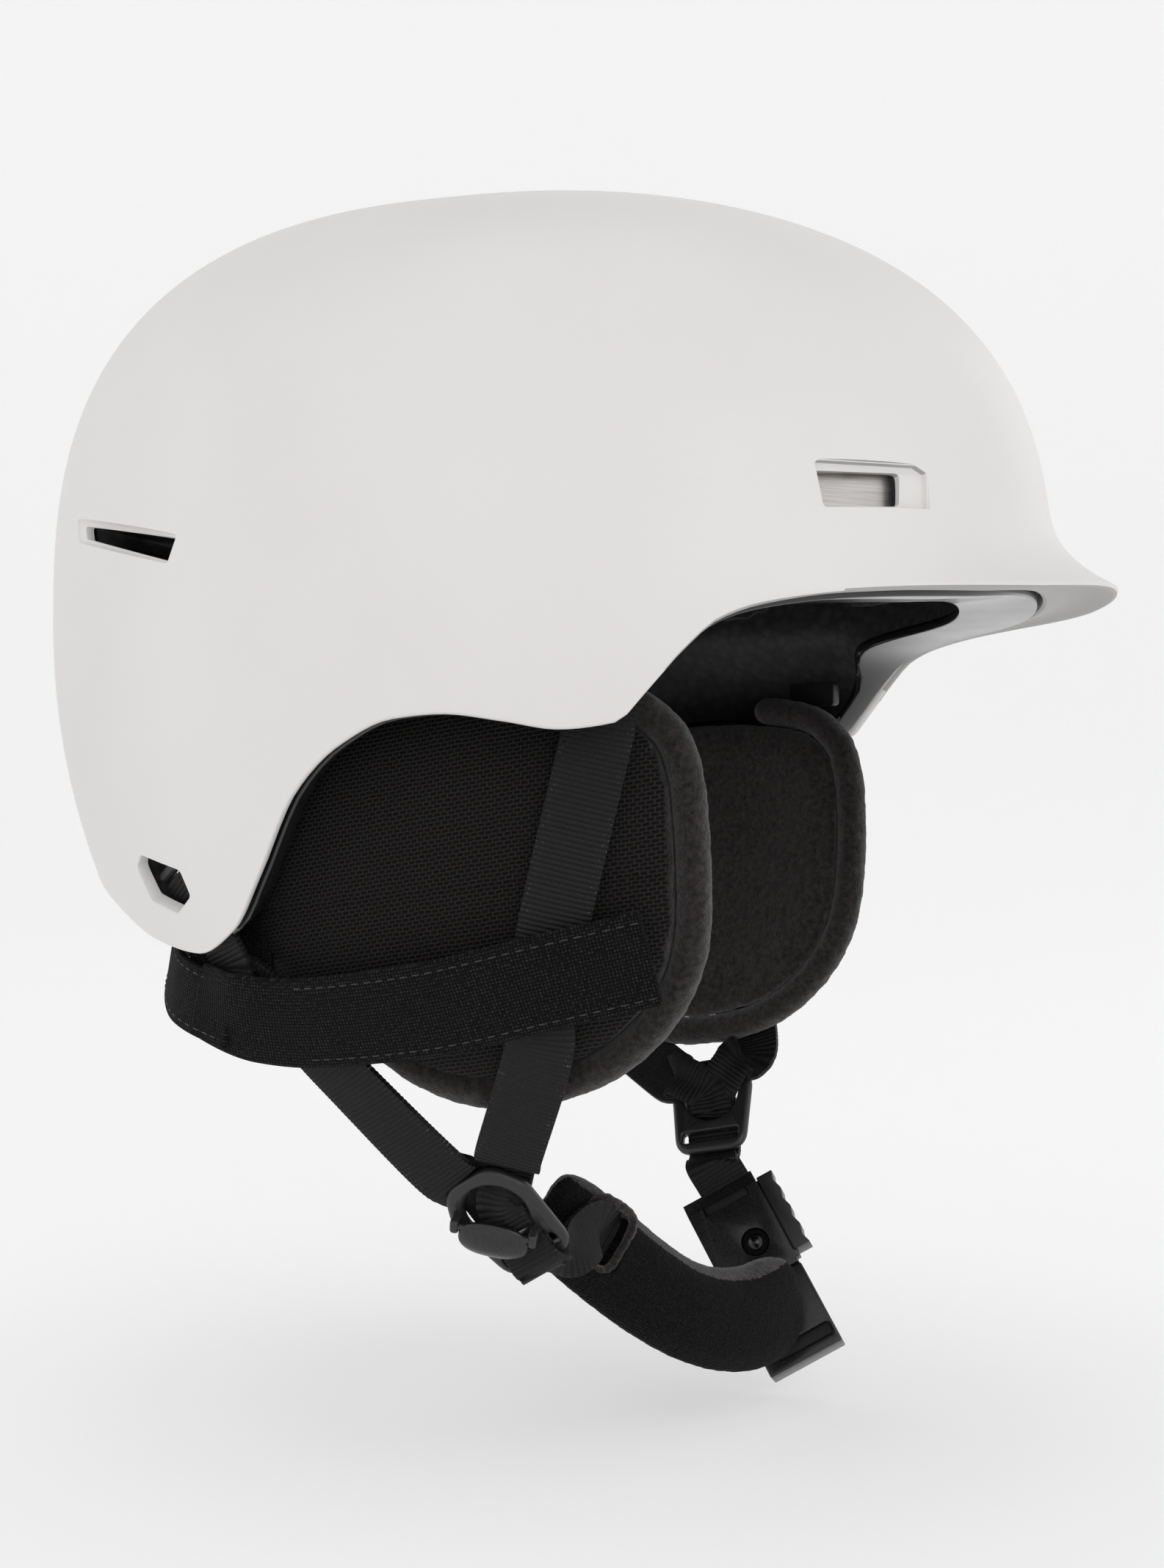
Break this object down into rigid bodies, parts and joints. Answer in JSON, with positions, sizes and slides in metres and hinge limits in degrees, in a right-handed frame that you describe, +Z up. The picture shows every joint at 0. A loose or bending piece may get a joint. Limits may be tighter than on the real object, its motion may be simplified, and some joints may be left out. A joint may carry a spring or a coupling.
{
  "type": "ski helmet",
  "caption": "Snow helmet with a small brim, foam liner, soft hinged ear flaps, webbing harness, padded chin strap with magnetic buckle and a rear goggle strap retainer.",
  "frame": {"origin": "centre of the head at ear level, on the helmet's middle plane", "axes": "+Z up, -Y forward where the brim points, +X to the wearer's left"},
  "size_m": [0.226, 0.2898, 0.3113],
  "materials": {
    "shell_white": "matte warm white soft-touch paint on a moulded shell",
    "liner_foam": "black expanded foam",
    "trim_black": "gloss black",
    "fleece": "brushed black fleece",
    "mesh_knit": "black spacer mesh",
    "canvas": "black woven canvas with lighter flecks",
    "webbing": "black cross-ribbed webbing",
    "black_plastic": "fine-grained black moulding",
    "brushed_plate": "brushed"
  },
  "bodies": {
    "root": {"anchor_bar_left": "black_plastic", "anchor_bar_right": "black_plastic", "brow_pad": "fleece", "crown_pad": "fleece", "foam_liner": "liner_foam", "front_anchor_left": "black_plastic", "front_anchor_right": "black_plastic", "liner_trim": "trim_black", "nape_band": "canvas", "nape_pad": "fleece", "outer_shell": "shell_white", "rear_strap_anchor_left": "webbing", "rear_strap_anchor_right": "webbing", "retainer_base": "black_plastic", "retainer_pin": "brushed_plate", "side_pad_left": "fleece", "side_pad_right": "fleece", "vent_plate_left": "brushed_plate", "vent_plate_right": "brushed_plate"},
    "right_flap": {"ear_binding_right": "fleece", "ear_cushion_right": "fleece", "ear_panel_right": "mesh_knit", "flap_band_right": "canvas", "front_strap_right": "webbing", "lock_pin_right": "brushed_plate", "rear_strap_right": "webbing", "strap_divider_right": "black_plastic"},
    "left_flap": {"buckle_body": "black_plastic", "buckle_magnet": "brushed_plate", "ear_binding_left": "fleece", "ear_cushion_left": "fleece", "ear_panel_left": "mesh_knit", "flap_band_left": "canvas", "front_strap_left": "webbing", "left_chin_webbing": "webbing", "lock_pin_left": "brushed_plate", "rear_strap_left": "webbing", "strap_divider_left": "black_plastic"},
    "chin_strap": {"buckle_tab": "black_plastic", "chin_pad": "fleece", "chin_webbing": "webbing", "keeper_disc": "brushed_plate"},
    "right_lock": {"divider_lock_right": "black_plastic"},
    "left_lock": {"divider_lock_left": "black_plastic"},
    "slider": {"release_slider": "black_plastic"},
    "lever": {"retainer_lever": "black_plastic"}
  },
  "joints": [
    {"name": "right_flap_swing", "type": "hinge", "parent": "root", "child": "right_flap", "pos_m": [-0.0895, -0.0115, -0.01075], "axis": [0, 0.8981, -0.4398], "range_deg": [0, 12], "stiffness_Nm_per_rad": 0.8, "springref_deg": -5.73},
    {"name": "left_flap_swing", "type": "hinge", "parent": "root", "child": "left_flap", "pos_m": [0.0895, -0.0115, -0.01075], "axis": [0, -0.8981, 0.4398], "range_deg": [0, 12], "stiffness_Nm_per_rad": 0.8, "springref_deg": -5.73},
    {"name": "chin_strap_swing", "type": "hinge", "parent": "right_flap", "child": "chin_strap", "pos_m": [-0.05276, -0.02145, -0.1143], "axis": [0.1649, 0.8534, -0.4945], "range_deg": [0, 70]},
    {"name": "right_lock_flip", "type": "hinge", "parent": "right_flap", "child": "right_lock", "pos_m": [-0.06232, -0.01323, -0.1076], "axis": [-0.2116, 0.9637, 0.1626], "range_deg": [0, 80]},
    {"name": "left_lock_flip", "type": "hinge", "parent": "left_flap", "child": "left_lock", "pos_m": [0.06238, -0.0277, -0.09439], "axis": [-0.3875, -0.8051, -0.449], "range_deg": [0, 80]},
    {"name": "release_slide", "type": "slide", "parent": "left_flap", "child": "slider", "axis": [0.2699, 0.5613, 0.7824], "range_m": [0, 0.0025], "stiffness_N_per_m": 300, "springref_m": -0.0005},
    {"name": "retainer_open", "type": "hinge", "parent": "root", "child": "lever", "pos_m": [0, 0.12845, -0.00845], "axis": [-1, 0, 0], "range_deg": [0, 100]}
  ]
}
